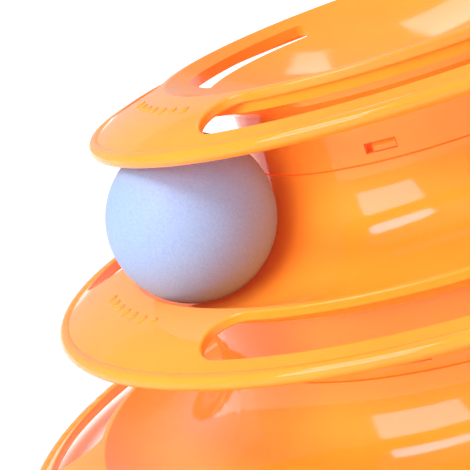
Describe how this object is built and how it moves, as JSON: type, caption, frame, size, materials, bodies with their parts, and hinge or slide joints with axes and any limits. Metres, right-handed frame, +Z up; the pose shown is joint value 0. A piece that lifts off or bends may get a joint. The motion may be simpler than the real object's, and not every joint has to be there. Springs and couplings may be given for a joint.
{
  "type": "cat ball track toy",
  "caption": "Stepped ring tower of three slotted plates that clip together, with a captive ball rolling round each of two open tracks and a shallow bowl on top.",
  "frame": {"origin": "on the table under the tower's axis, at the bottom of the foot pads", "axes": "+Z up the tower's axis, -Y towards the viewer of the picture"},
  "size_m": [0.245, 0.245, 0.0901],
  "materials": {
    "orange_plastic": "gloss",
    "ball_plastic": "matte",
    "pad_rubber": "matte"
  },
  "bodies": {
    "tower": {"base_tier": "orange_plastic", "mid_tier": "orange_plastic", "top_tier": "orange_plastic", "base_snap_lugs": "orange_plastic", "mid_snap_lugs": "orange_plastic", "foot_pad_1": "pad_rubber", "foot_pad_2": "pad_rubber", "foot_pad_3": "pad_rubber"},
    "lower_ball": {"lower_ball": "ball_plastic"},
    "upper_ball": {"upper_ball": "ball_plastic"}
  },
  "joints": [
    {"name": "lower_ball_run", "type": "hinge", "parent": "tower", "child": "lower_ball", "pos_m": [0, 0, 0.0249], "axis": [0, 0, 1], "continuous": true},
    {"name": "upper_ball_run", "type": "hinge", "parent": "tower", "child": "upper_ball", "pos_m": [0, 0, 0.06453], "axis": [0, 0, 1], "continuous": true}
  ]
}
